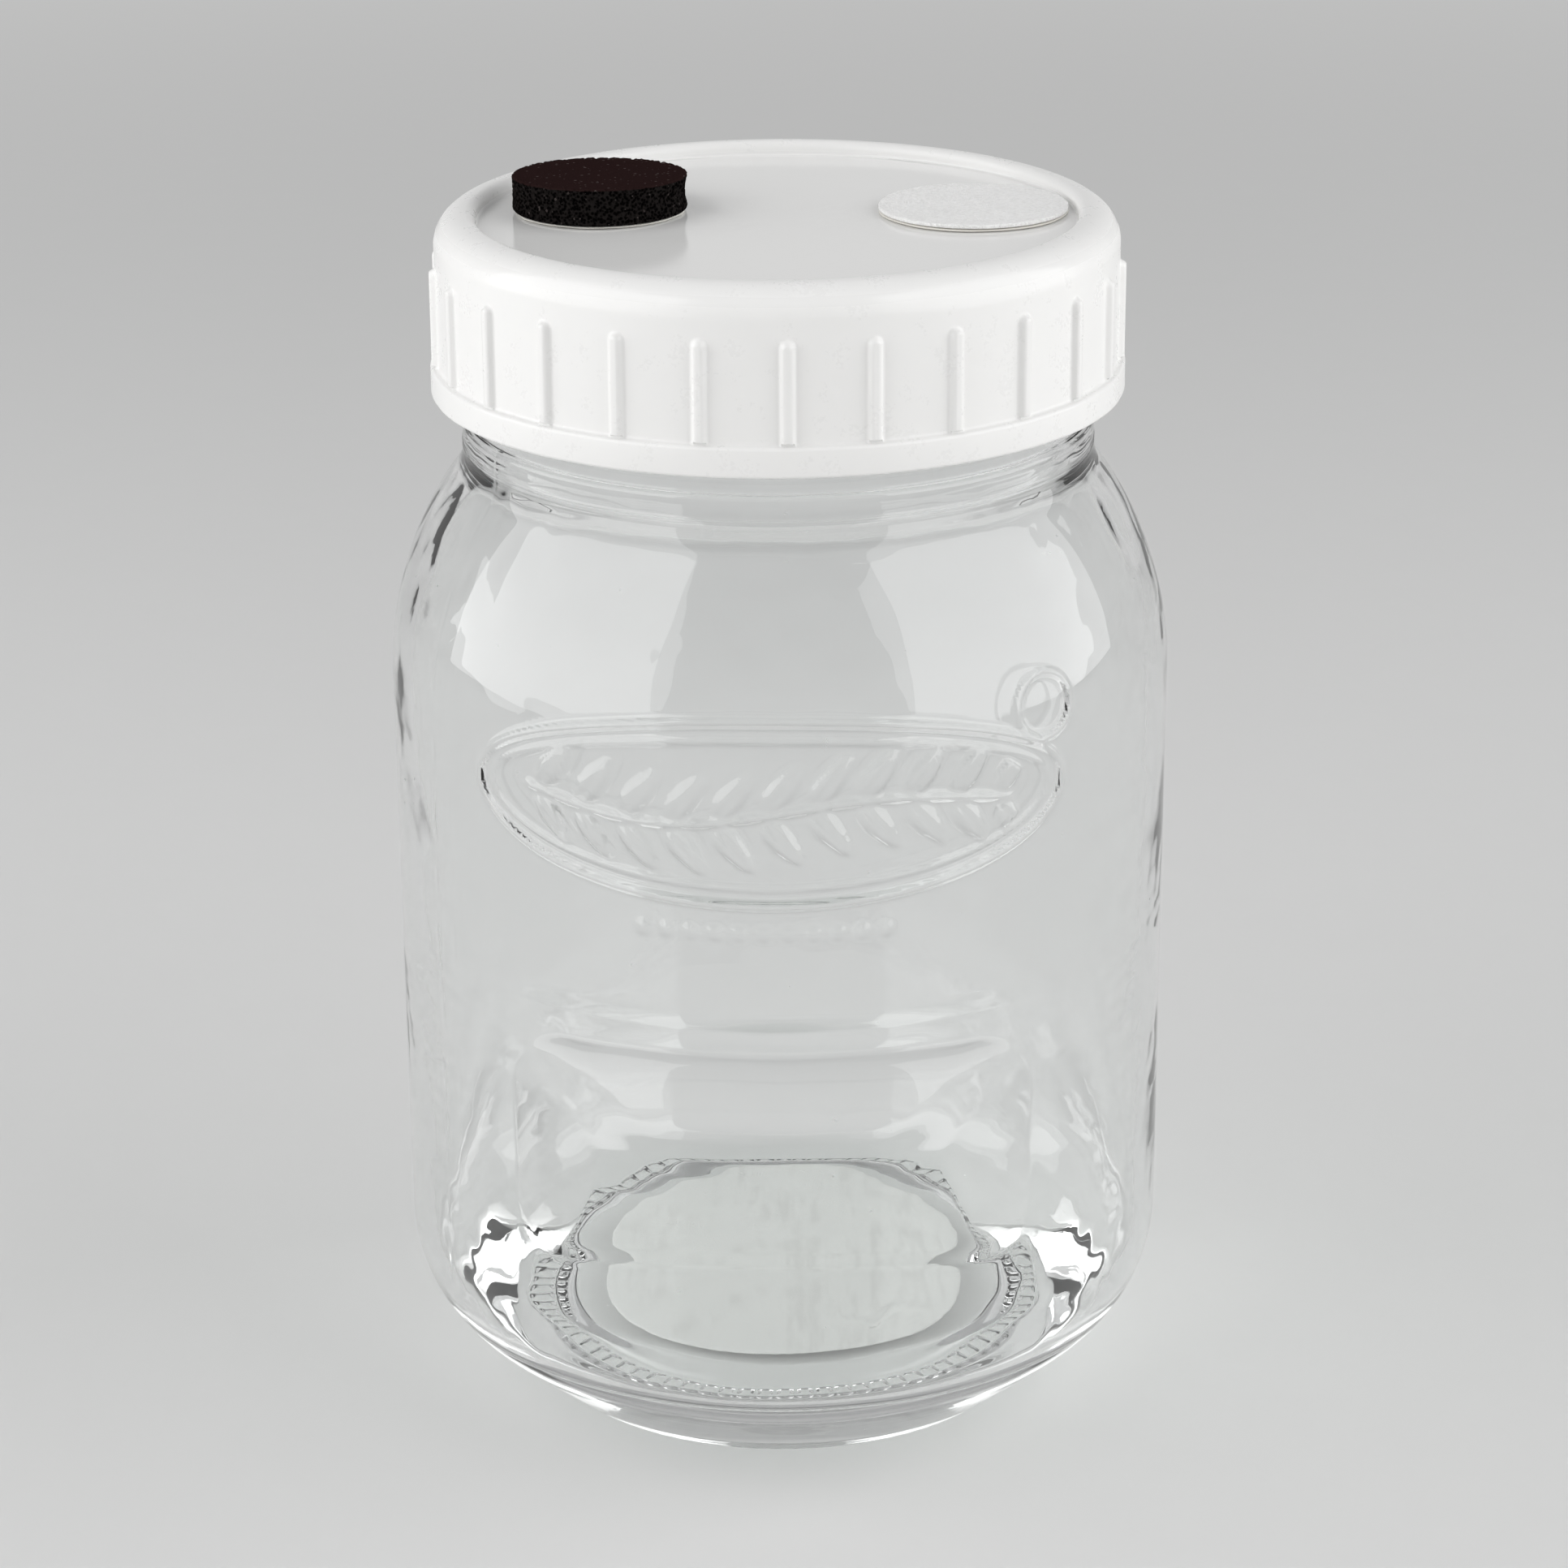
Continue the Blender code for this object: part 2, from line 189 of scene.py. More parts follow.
def skin(name, rings, start=None, end=None, loop=False):
    """A mesh over rings of points (mm), closed by a middle point at its start and end,
    or joined last ring to first."""
    counts = [len(ring) for ring in rings]
    firsts = np.concatenate([[0], np.cumsum(counts)])
    points = np.concatenate(rings)
    faces = []
    for k in range(len(rings) - 1):
        faces += stitch(int(firsts[k]), counts[k], int(firsts[k + 1]), counts[k + 1])
    if loop:
        faces += stitch(int(firsts[-2]), counts[-1], 0, counts[0])
    ends = []
    for point, first, count, turn in ((start, 0, counts[0], 1), (end, int(firsts[-2]), counts[-1], -1)):
        if point is None:
            continue
        middle = len(points) + len(ends)
        ends.append(point)
        for i in range(count):
            pair = (first + i, first + (i + 1) % count)
            faces.append((middle, *pair[::turn]) if turn > 0 else (middle, *pair[::-1]))
    if ends:
        points = np.concatenate([points, np.array(ends, float)])
    mesh = bpy.data.meshes.new(name)
    mesh.from_pydata((points * MM).tolist(), [], faces)
    mesh.shade_smooth()
    return mesh


def piece(name, mesh, body, node, finish):
    """Puts a mesh in the scene as the piece that stands for a node."""
    mesh.name = name
    mesh.materials.clear()
    mesh.materials.append(finish)
    made = bpy.data.objects.new(name, mesh)
    bpy.context.scene.collection.objects.link(made)
    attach(made, body)
    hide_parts(node)
    return made


def ripple(seed, waves, longest, shortest, spread_of_headings=pi):
    """A smooth random field about 1 high over azimuth (rad) and length along a profile (mm).
    With a narrow spread of headings its crests run round the jar."""
    draw = np.random.default_rng(seed)
    length = longest * (shortest / longest) ** draw.random(waves)
    heading = pi / 2 + (draw.random(waves) - 0.5) * spread_of_headings
    around = np.round(2 * pi * BODY / length * np.cos(heading))
    along = 2 * pi / length * np.sin(heading)
    phase = draw.random(waves) * 2 * pi
    weight = length / np.sqrt((length**2).sum() / 2)

    def field(azimuth, reach):
        total = 0
        for a, b, p, w in zip(around, along, phase, weight):
            total = total + w * np.cos(a * azimuth + b * reach + p)
        return total

    return field


def bump(distance, half_width):
    """A rounded ridge, 1 high on its line and 0 from half_width on."""
    return 0.5 + 0.5 * np.cos(pi * np.clip(np.abs(distance) / half_width, 0, 1))


def dome(share):
    """A soft-edged mound over share 0 (its middle) to 1 (its edge)."""
    return np.sqrt(np.clip(1 - share**2, 0, 1))


def step_up(value, low, high):
    t = np.clip((value - low) / (high - low), 0, 1)
    return t * t * (3 - 2 * t)


def wrapped(angle):
    return (angle + pi) % (2 * pi) - pi


# The glass jar
FRONT = -pi / 2
SEAM = radians(-90 - 60)
EMBLEM_MIDDLE = (radians(-90 - 2), 98.0)
EMBLEM_HALF = (41.0, 12.0)
EMBLEM_STAND = 0.8
BEAD_ROW = (radians(-90 - 2.5), 82.2)
BEAD_SPACING = 3.1
RING_MARK = (radians(-90 + 40), 108.0)
RING_MARK_RADIUS = 4.2
KNURLS = 82
PATCH_MIDDLE = (radians(-90 - 2), 49.55)
PATCH_HALF = (36.0, 15.0)
PATCH_CORNER = 9.0
PATCH_FOOT_CORNER = 10.0
PATCH_FOOT_FADE = 13
PATCH_TOP_DROOP = 1.1
# Heights above the patch's bottom edge, and how deep it is cut there
PATCH_CUT = (
    (0, 2.5, 5, 7.5, 10, 13, 16, 18, 20, 22, 25, 28, 31),
    (0, 0.623, 1.070, 1.402, 1.678, 1.941, 2.137, 2.16, 2.05, 1.80, 1.42, 1.04, 0.66),
)
PATCH_LIP = 0.2
PATCH_BOW = 5.2
PATCH_CREST = 0.6
SCAR = (radians(-90 + 15), 27.0)


def seam_columns():
    """Azimuths round the jar, closer together along its two mould seams."""
    near = np.array([-1.8, -1.3, -0.9, -0.6, -0.35, -0.15, 0, 0.15, 0.35, 0.6, 0.9, 1.3, 1.8]) / BODY
    seams = [SEAM, SEAM + pi]
    even = np.arange(230) * 2 * pi / 230
    keep = [a for a in even if all(abs(wrapped(a - s)) > 2.4 / BODY for s in seams)]
    return np.sort(np.concatenate([keep, *[(s + near) % (2 * pi) for s in seams]]))


def finer(azimuths, part):
    following = np.roll(azimuths, -1)
    following[-1] += 2 * pi
    shares = np.arange(part) / part
    return (azimuths[:, None] + (following - azimuths)[:, None] * shares).ravel()


def sprig(u, v):
    """Leaves in pairs along a wavy stem."""
    leaf_step, leaf_tilt, out = 6.1, radians(52), 3.4
    stem = 1.6 * np.sin(u / 9.0)
    height = 0.8 * bump(v - stem, 0.9) * step_up(33.5 - np.abs(u), 0, 2)
    for k in range(-5, 6):
        at = leaf_step * k
        root = 1.6 * sin(at / 9.0)
        for side in (-1, 1):
            tilt = leaf_tilt * side
            mid = (at + out * cos(tilt), root + out * sin(tilt) + 0.9 * side)
            x = (u - mid[0]) * cos(tilt) + (v - mid[1]) * sin(tilt)
            y = -(u - mid[0]) * sin(tilt) + (v - mid[1]) * cos(tilt)
            width = 1.55 * (1 - 0.10 * x)
            leaf = dome(np.hypot(x / 3.9, y / width)) * (1 - 0.45 * bump(y, 0.45))
            height = np.maximum(height, leaf)
    return height


def emblem(azimuth, height):
    """The raised ornament on the front: an oval frame round a sprig."""
    u = BODY * wrapped(azimuth - EMBLEM_MIDDLE[0])
    v = height - EMBLEM_MIDDLE[1]
    a, b = EMBLEM_HALF
    share = np.hypot(u / a, v / b) + 1e-9
    steep = np.hypot(u / a**2, v / b**2) / share + 1e-9
    from_edge = (share - 1) / steep
    frame_line = np.maximum(bump(from_edge, 1.0), 0.5 * bump(from_edge + 2.3, 0.7))
    frame_line = frame_line * (1 - 0.4 * step_up(np.abs(u), 0.80 * a, 0.97 * a))
    inside = np.where(share < 0.86, sprig(u, v), 0)
    return EMBLEM_STAND * np.maximum(frame_line, inside)


def small_marks(azimuth, height):
    """A row of low beads under the ornament, and the plain ring on the shoulder."""
    u = BODY * wrapped(azimuth - BEAD_ROW[0])
    v = height - BEAD_ROW[1]
    nearest = np.clip(np.round(u / BEAD_SPACING), -5, 5) * BEAD_SPACING
    beads = dome(np.hypot(u - nearest, v) / 1.15)
    reach = np.hypot(48.5 * wrapped(azimuth - RING_MARK[0]), (height - RING_MARK[1]) * 1.01)
    return 0.42 * beads + 0.6 * bump(reach - RING_MARK_RADIUS, 1.0)


def thin_patch(azimuth, height):
    """The thinner patch that blowing left inside the front wall, with a sharp edge along its top:
    how far the inner surface stands in from its round."""
    across = np.abs((BODY - WALL) * wrapped(azimuth - PATCH_MIDDLE[0]))
    droop = np.minimum((across / PATCH_HALF[0]) ** 2, 1.3)
    up = height - PATCH_MIDDLE[1]
    past = np.clip(across - PATCH_HALF[0] + PATCH_FOOT_CORNER, 0, PATCH_FOOT_CORNER)
    corner_rise = PATCH_FOOT_CORNER - np.sqrt(PATCH_FOOT_CORNER**2 - past**2)
    from_bottom = up + PATCH_HALF[1]
    low = 1 - step_up(from_bottom, 0, PATCH_FOOT_FADE)
    from_bottom = from_bottom + (PATCH_BOW * droop - corner_rise) * low
    u = across - PATCH_HALF[0] + PATCH_CORNER
    v = up - PATCH_HALF[1] + PATCH_TOP_DROOP * droop + PATCH_CORNER
    beyond = np.hypot(np.maximum(u, 0), np.maximum(v, 0))
    outside = np.minimum(np.maximum(u, v), 0) + beyond - PATCH_CORNER
    within = np.maximum(-outside, 0)
    at_top = step_up(v - u, 0.0, 10.0)
    deep = np.interp(np.maximum(from_bottom, 0), *PATCH_CUT)
    rim = np.minimum(within / (5.0 + 4.5 * deep), 1)
    rim = rim * (1 - at_top) + (1 - np.exp(-within / 1.8)) * at_top
    beside = step_up(PATCH_HALF[0] + 9 - across, 0, 18)
    lip = PATCH_LIP * np.exp(-np.maximum(-from_bottom, 0) / 13.3)
    lip = lip * np.exp(-np.maximum(v - PATCH_CORNER, 0) / 8.0)
    crest = PATCH_CREST * np.exp(-np.maximum(outside, 0) / 7.0 - within / 1.8) * at_top
    return crest + lip * beside * step_up(height, 14, 30) - deep * rim


def scar(azimuth, height):
    """A short crooked wrinkle in the inner surface."""
    u = (BODY - WALL) * wrapped(azimuth - SCAR[0])
    v = height - SCAR[1] - 1.1 * np.sin(u / 1.15) * np.exp(-((u / 4.5) ** 2)) - 0.10 * u
    return bump(v, 0.75) * step_up(6.0 - np.abs(u), 0, 2.5)


def thread(azimuth, height, top):
    """The bead of the screw on its helix."""
    total = 0
    for lap in (0, 1):
        back = (THREAD_START - azimuth) % (2 * pi) + 2 * pi * lap
        full = 2 * pi * THREAD_TURNS
        fade = step_up(np.minimum(back, full - back), 0, THREAD_FADE)
        distance = np.abs(height - (top - THREAD_LEAD * back / (2 * pi)))
        total = np.maximum(total, fade * step_up(1.2 - distance, 0, 0.75))
    return total


def glass_jar_mesh():
    """The jar in one skin, up the inside, over the rim and down the outside."""
    base = seam_columns()
    fine = finer(base, 3)
    slope = degrees(HEEL_SLOPE)
    inner_centre = (BODY - WALL - INNER_HEEL[0], FLOOR_TOP + INNER_HEEL[1])
    shoulder_inner = SHOULDER_ROUND - WALL
    inside = [
        (line((2.0, FLOOR_TOP), (inner_centre[0], FLOOR_TOP), 1.6), base),
        (arc(inner_centre, INNER_HEEL, -90, -50, 0.6), base),
        (arc(inner_centre, INNER_HEEL, -50, 0, 0.45), fine),
        (line((BODY - WALL, inner_centre[1]), (BODY - WALL, FINE_ROWS_TOP), 0.5), fine),
        (line((BODY - WALL, FINE_ROWS_TOP), (BODY - WALL, SHOULDER[1]), 1.6), base),
        (arc(SHOULDER, shoulder_inner, 0, INNER_THROAT_ANGLE, 1.2), base),
        (arc(INNER_THROAT, THROAT, 180 + INNER_THROAT_ANGLE, 180, 0.5), base),
        (line((BORE, INNER_THROAT[1]), (BORE, RIM_TOP - RIM_EDGE), 1.2), base),
        (arc((BORE + RIM_EDGE, RIM_TOP - RIM_EDGE), RIM_EDGE, 180, 90, 0.15), base),
    ]
    parting = OUTER_THROAT[1] + 0.3
    collar_side = COLLAR_TOP - COLLAR_EDGE
    foot_inner = FOOT - FOOT_WIDTH
    recess = foot_inner - PUSH_UP / tan(PUSH_UP_SLOPE)
    heel_way = np.array([cos(HEEL_SLOPE), sin(HEEL_SLOPE)])
    foot_edge = np.array([FOOT, 0.0])
    outside = [
        (arc((NECK - RIM_EDGE, RIM_TOP - RIM_EDGE), RIM_EDGE, 90, 0, 0.15), base),
        (line((NECK, RIM_TOP - RIM_EDGE), (NECK, COLLAR_TOP + 0.4), 0.33), base),
        (arc((NECK + 0.4, COLLAR_TOP + 0.4), 0.4, 180, 270, 0.12), base),
        (arc((COLLAR - COLLAR_EDGE, collar_side), COLLAR_EDGE, 90, 0, 0.12), base),
        (line((COLLAR, collar_side), (COLLAR, parting + PARTING_HALF), 0.4), base),
        (line((COLLAR, parting + PARTING_HALF), (COLLAR, OUTER_THROAT[1]), 0.1), base),
        (arc(OUTER_THROAT, THROAT, 180, 180 + OUTER_THROAT_ANGLE, 0.4), base),
        (arc(SHOULDER, SHOULDER_ROUND, OUTER_THROAT_ANGLE, 18, 0.9), base),
        (arc(SHOULDER, SHOULDER_ROUND, 18, 0, 0.4), fine),
        (line((BODY, SHOULDER[1]), (BODY, ORNAMENT_BOTTOM), 0.4), fine),
        (line((BODY, ORNAMENT_BOTTOM), (BODY, HEEL_TOP), 1.6), base),
        (arc((BODY - HEEL_ROUND, HEEL_TOP), HEEL_ROUND, 0, slope - 90, 0.7), base),
        (line(foot_edge + 1.4 * heel_way, foot_edge + 0.4 * heel_way, 0.5), base),
        (line((FOOT + 0.08, 0.07), (FOOT - 0.25, 0), 0.3), fine),
        (line((FOOT - 0.3, 0), (foot_inner, 0), 0.25), fine),
        (sweep_up((foot_inner, 0), (recess, PUSH_UP), 12), fine),
        (line((recess, PUSH_UP), (1.5, PUSH_UP), 2.0), base),
    ]
    inner, inner_columns = chain(inside)
    outer, outer_columns = chain(outside)
    profile = np.concatenate([inner, outer])
    columns = inner_columns + outer_columns
    normals = outward(profile)
    reach = np.concatenate([[0], np.cumsum(np.hypot(*np.diff(profile, axis=0).T))])
    broad = ripple(3, 60, 46, 12)
    short = ripple(8, 60, 11, 3.5)
    outer_broad = ripple(21, 50, 40, 9)
    drawn = ripple(34, 60, 9, 2.4, 0.5)
    rings = []
    for k, (point, normal, around) in enumerate(zip(profile, normals, columns)):
        r, z = point
        if k < len(inner):
            calm = step_up(r, 4, 18) * step_up(COLLAR_TOP + 1 - z, 0, 12)
            calm = calm * (0.25 + 0.75 * step_up(z, 30, 75))
            lift = (0.042 + 0.033 * step_up(z, 100, 116)) * broad(around, reach[k])
            lift = lift + (0.008 + 0.024 * step_up(z, 102, 114)) * short(around, reach[k])
            lift = calm * (lift + 0.010 * drawn(around, reach[k]))
            if around is fine:
                lift = lift + step_up(z, 14, 20) * thin_patch(around, z) - 0.16 * scar(around, z)
                turned = np.abs(wrapped(around - FRONT))
                aside = step_up(turned, radians(34), radians(46))
                aside = aside * step_up(-turned, radians(-72), radians(-58))
                crinkle = step_up(z, 13, 17) * step_up(40 - z, 0, 10) * aside
                lift = lift + 0.014 * crinkle * short(around, 1.3 * reach[k])
        else:
            calm = step_up(COLLAR_TOP - 2 - z, 0, 8) * step_up(z, 3, 14)
            lift = calm * (0.020 * outer_broad(around, reach[k]) + 0.0022 * short(around, reach[k]))
            if around is fine and z > 60:
                lift = lift + emblem(around, z) + small_marks(around, z)
            if z > COLLAR_TOP + 0.3:
                lift = lift + THREAD_STAND * thread(around, z, THREAD_TOP) * (z < RIM_TOP - RIM_EDGE)
            elif z > 4:
                wander = 0.25 * np.sin(z / 7.3) + 0.16 * np.sin(z / 3.1 + 1)
                ridge = bump(BODY * wrapped(around - SEAM) - wander, 0.8)
                ridge = ridge + 0.3 * bump(BODY * wrapped(around - SEAM - pi) - wander, 0.8)
                broken = max(0, sin(z / 5.3 + 0.6) * sin(z / 2.1) + 0.25)
                lift = lift + 0.028 * broken * ridge
            if abs(z - parting) < PARTING_HALF and r > COLLAR - 0.5:
                apart = 0.28
                pair = bump(z - parting - apart, 0.22) + bump(z - parting + apart, 0.22)
                lift = lift + 0.13 * pair
            if z < 0.1 and r > foot_inner - 0.1:
                between = 1 - step_up(bump(wrapped(around * KNURLS) / pi, 0.62), 0.1, 0.6)
                shape = step_up(r, foot_inner, foot_inner + 0.5) * step_up(FOOT - 0.3 - r, 0, 0.5)
                lift = lift - 0.5 * shape * between
        radius = r + lift * normal[0]
        height = z + lift * normal[1]
        rings.append(np.stack([radius * np.cos(around), radius * np.sin(around), height + 0 * around], 1))
    return skin("glass_jar", rings, start=(0, 0, FLOOR_TOP), end=(0, 0, PUSH_UP))


# The lid
def rib_columns():
    """Azimuths round the lid, closer together across each rib."""
    half = np.array([0.15, 0.45, 0.7, 0.9, 1.1, 1.35, 1.9, 3.4])
    offsets = np.concatenate([-half[::-1], half])
    cell = 2 * pi / RIBS
    middle = FRONT + RIB_PHASE + cell * np.arange(RIBS)
    return (middle[:, None] + offsets / LID_SIDE).ravel()


def rib(azimuth, height):
    """The rounded finger ribs: 1 on a rib's back, 0 between them."""
    cell = 2 * pi / RIBS
    u = LID_SIDE * ((azimuth - FRONT - RIB_PHASE + cell / 2) % cell - cell / 2)
    over = np.maximum(height - (RIB_TOP - 1.0), 0)
    return step_up(1.08 - np.hypot(u, over), 0, 0.62)


def screw_lid_mesh():
    """The lid in one skin, from the middle of its panel over the side to the middle underneath."""
    around = rib_columns()
    panel = LID_SIDE - LID_RIM_WIDTH
    top = [
        (line((1.5, PANEL_TOP), (panel - 0.5, PANEL_TOP), 1.3), around),
        (arc((panel - 0.35, PANEL_TOP + 0.35), 0.35, 270, 360, 0.12), around),
        (line((panel, PANEL_TOP + 0.35), (panel + 0.05, LID_TOP - LID_RIM_ROUND), 0.3), around),
        (arc((panel + 0.05 + LID_RIM_ROUND, LID_TOP - LID_RIM_ROUND), LID_RIM_ROUND, 180, 90, 0.2), around),
        (arc((LID_SIDE - LID_EDGE_ROUND, LID_TOP - LID_EDGE_ROUND), LID_EDGE_ROUND, 90, 0, 0.35), around),
        (line((LID_SIDE, LID_TOP - LID_EDGE_ROUND), (LID_SIDE, RIB_TOP - 1.6), 0.2), around),
        (line((LID_SIDE, RIB_TOP - 1.6), (LID_SIDE, BAND_TOP + 0.5), 1.0), around),
        (arc((LID_SIDE + 0.4, BAND_TOP + 0.4), 0.4, 180, 270, 0.12), around),
        (arc((LID_BAND - BAND_EDGE, BAND_TOP - BAND_EDGE), BAND_EDGE, 90, 0, 0.12), around),
        (arc((LID_BAND - BAND_EDGE, LID_BOTTOM + BAND_EDGE), BAND_EDGE, 0, -90, 0.12), around),
        (arc((SKIRT_BORE + 0.3, LID_BOTTOM + 0.3), 0.3, 270, 180, 0.15), around),
        (line((SKIRT_BORE, LID_BOTTOM + 0.3), (SKIRT_BORE, PLATE_BOTTOM - 0.6), 0.35), around),
        (arc((SKIRT_BORE - 0.6, PLATE_BOTTOM - 0.6), 0.6, 0, 90, 0.2), around),
        (line((SKIRT_BORE - 0.6, PLATE_BOTTOM), (1.5, PLATE_BOTTOM), 2.0), around),
    ]
    profile, columns = chain(top)
    normals = outward(profile)
    sag = ripple(5, 24, 60, 22)
    rings = []
    for (r, z), normal, azimuth in zip(profile, normals, columns):
        lift = 0 * azimuth
        if z > PANEL_TOP - 0.01 and r < panel - 0.4:
            lift = 0.02 * sag(azimuth, r) * step_up(r, 2, 12)
        elif r >= LID_SIDE - 0.01 and BAND_TOP < z < LID_TOP - 4:
            lift = RIB_STAND * rib(azimuth, z) + 0.015 * sag(azimuth, z)
        elif abs(r - SKIRT_BORE) < 0.01:
            lift = THREAD_STAND * thread(azimuth, z, THREAD_TOP - HOOK_DROP)
        radius, height = r + lift * normal[0], z + lift * normal[1]
        rings.append(np.stack([radius * np.cos(azimuth), radius * np.sin(azimuth), height], 1))
    return skin("screw_lid", rings, start=(0, 0, PANEL_TOP), end=(0, 0, PLATE_BOTTOM))


def cut_hole(body, centre, radius):
    """Bores a round hole through the lid's panel."""
    mesh = bpy.data.meshes.new("hole")
    rod = bmesh.new()
    size = radius * MM
    bmesh.ops.create_cone(rod, cap_ends=True, segments=64, radius1=size, radius2=size, depth=4 * MM)
    middle = Vector((*centre, (PLATE_BOTTOM + PANEL_TOP) / 2)) * MM
    bmesh.ops.translate(rod, verts=rod.verts, vec=middle)
    rod.to_mesh(mesh)
    rod.free()
    cutter = bpy.data.objects.new("hole", mesh)
    bpy.context.scene.collection.objects.link(cutter)
    change = body.modifiers.new("hole", "BOOLEAN")
    change.operation = "DIFFERENCE"
    change.solver = "EXACT"
    change.object = cutter
    graph = bpy.context.evaluated_depsgraph_get()
    made = bpy.data.meshes.new_from_object(body.evaluated_get(graph))
    body.modifiers.clear()
    body.data = made
    bpy.data.objects.remove(cutter)


# What sits on the lid and base
PORT_RADIUS = 11.4
PORT_HEIGHT = 4.8
PORT_FROM_EDGE = 15.4
FOAM_LEAN = 0.75
FOAM_SLOPE = 0.033
NEEDLE_HOLE = 3.0
FILTER_RADIUS = 12.4
FILTER_FROM_EDGE = 0.8
FILTER_THICKNESS = 0.5
FILTER_RING_HOLE = 6.0
VENT_HOLE = 4.0
FILM = 0.2
FILM_GAP = 0.15
FILM_SETBACK = 0.35
LABEL_RADIUS = 25.2
LABEL_THICKNESS = 0.3
LABEL_GAP = 0.3


def placed(distance, azimuth):
    """A spot on the lid, by its distance from the axis and its azimuth in degrees."""
    return distance * cos(radians(azimuth)), distance * sin(radians(azimuth))


PORT_PLACE = placed(LID_SIDE - LID_RIM_WIDTH - PORT_FROM_EDGE, 166.8)
FILTER_PLACE = placed(LID_SIDE - LID_RIM_WIDTH - FILTER_FROM_EDGE - FILTER_RADIUS, 8)
FILM_BOTTOM = PANEL_TOP + FILM_GAP
FILM_TOP = FILM_BOTTOM + FILM
DISC_BOTTOM = FILM_TOP + FILM_GAP


def cells(point, size, seed):
    """Distance to the nearest of scattered points, as a share of their spacing."""
    return noise.voronoi(Vector(point) / size + Vector((seed, 0, 0)))[0][0]


def turned_disc(name, profile, count, centre, shape=None, lean=0.0):
    """A closed disc from a profile that runs from the middle of its top to the middle of its foot.
    The lean is how much lower its top is at the back than at the front."""
    points = np.array(profile)
    widest = points[:, 0].max()
    top, foot = profile[0][1], profile[-1][1]
    normals = outward(points)
    around = np.arange(count) * 2 * pi / count
    rings = []
    for (r, z), normal in zip(points, normals):
        lift = np.zeros(count)
        if shape:
            lift = np.array([shape(r * cos(a), r * sin(a), z, r) for a in around])
        radius, height = r + lift * normal[0], z + lift * normal[1]
        x = centre[0] + radius * np.cos(around)
        y = centre[1] + radius * np.sin(around)
        height = height - lean * (z - foot) / (top - foot) * (0.5 + 0.5 * radius * np.sin(around) / widest)
        rings.append(np.stack([x, y, height + 0 * around], 1))
    return skin(name, rings, start=(*centre, top - 0.5 * lean), end=(*centre, foot))


def foam_port_mesh():
    """The injection port: a thick foam disc with open pores round its side, pinched in a little."""
    top = DISC_BOTTOM + PORT_HEIGHT
    profile = np.concatenate([
        line((0.6, top), (PORT_RADIUS - 0.7, top), 0.55),
        arc((PORT_RADIUS - 0.25, top - 0.25), 0.25, 90, 0, 0.10),
        line((PORT_RADIUS, top - 0.35), (PORT_RADIUS, DISC_BOTTOM + 0.2), 0.14),
        line((PORT_RADIUS - 0.02, DISC_BOTTOM + 0.1), (PORT_RADIUS - 0.12, DISC_BOTTOM), 0.12),
        line((PORT_RADIUS - 1.0, DISC_BOTTOM), (0.6, DISC_BOTTOM), 2.5),
    ])

    def pores(x, y, z, r):
        side = step_up(r, PORT_RADIUS - 0.6, PORT_RADIUS - 0.15)
        side = side * step_up(z, DISC_BOTTOM + 0.02, DISC_BOTTOM + 0.3)
        coarse = 1 - step_up(cells((x, y, z), 0.62, 3), 0.10, 0.52)
        small = 1 - step_up(cells((x, y, z), 0.30, 9), 0.15, 0.50)
        rough = noise.noise(Vector((x, y, z)) / 0.55)
        up = min(max((z - DISC_BOTTOM) / PORT_HEIGHT, 0), 1)
        pinch = sin(pi * up) * (0.6 + 0.4 * x / max(r, 1))
        flat = 0.035 * noise.noise(Vector((x, y, 0)) / 4.5) * step_up(r, 0.5, 3)
        return flat * (1 - side) + side * (0.08 * rough - 0.28 * coarse - 0.10 * small - 0.36 * pinch + 0.1)

    return turned_disc("foam_port_disc", profile, 440, PORT_PLACE, pores, lean=FOAM_LEAN)


def filter_mesh():
    """The air filter: a thin pressed pad with a frayed edge."""
    bottom, top = DISC_BOTTOM, DISC_BOTTOM + FILTER_THICKNESS
    profile = np.concatenate([
        line((0.6, top), (FILTER_RADIUS - 0.3, top), 0.5),
        arc((FILTER_RADIUS - 0.16, top - 0.16), 0.16, 90, 0, 0.08),
        line((FILTER_RADIUS, top - 0.2), (FILTER_RADIUS, bottom + 0.02), 0.12),
        line((FILTER_RADIUS - 0.1, bottom), (0.6, bottom), 2.5),
    ])

    def pressed(x, y, z, r):
        edge = step_up(r, FILTER_RADIUS - 0.25, FILTER_RADIUS)
        pad = 0.05 * noise.noise(Vector((x, y, 0)) / 2.6) + 0.03 * noise.noise(Vector((x, y, 2)) / 0.9)
        frayed = 0.10 * noise.noise(Vector((x, y, z)) / 0.6)
        return (pad * (1 - edge) + frayed * edge) * (z > bottom + 0.1)

    return turned_disc("filter_disc", profile, 320, FILTER_PLACE, pressed)


def film_mesh(name, inner, outer, centre, seed):
    """A die-cut adhesive film or ring, not quite round."""
    bottom, top = FILM_BOTTOM, FILM_TOP
    around = np.arange(160) * 2 * pi / 160
    edge = ripple(seed, 16, 50, 12)
    rings = []
    for r, z in ((inner, top), (outer - 0.06, top), (outer, top - 0.06), (outer, bottom), (inner, bottom)):
        radius = r + 0.05 * edge(around, 0) * (r > inner + 0.1)
        x = centre[0] + radius * np.cos(around)
        y = centre[1] + radius * np.sin(around)
        rings.append(np.stack([x, y, z + 0 * around], 1))
    if inner > 1:
        return skin(name, rings, loop=True)
    return skin(name, rings, start=(*centre, top), end=(*centre, bottom))


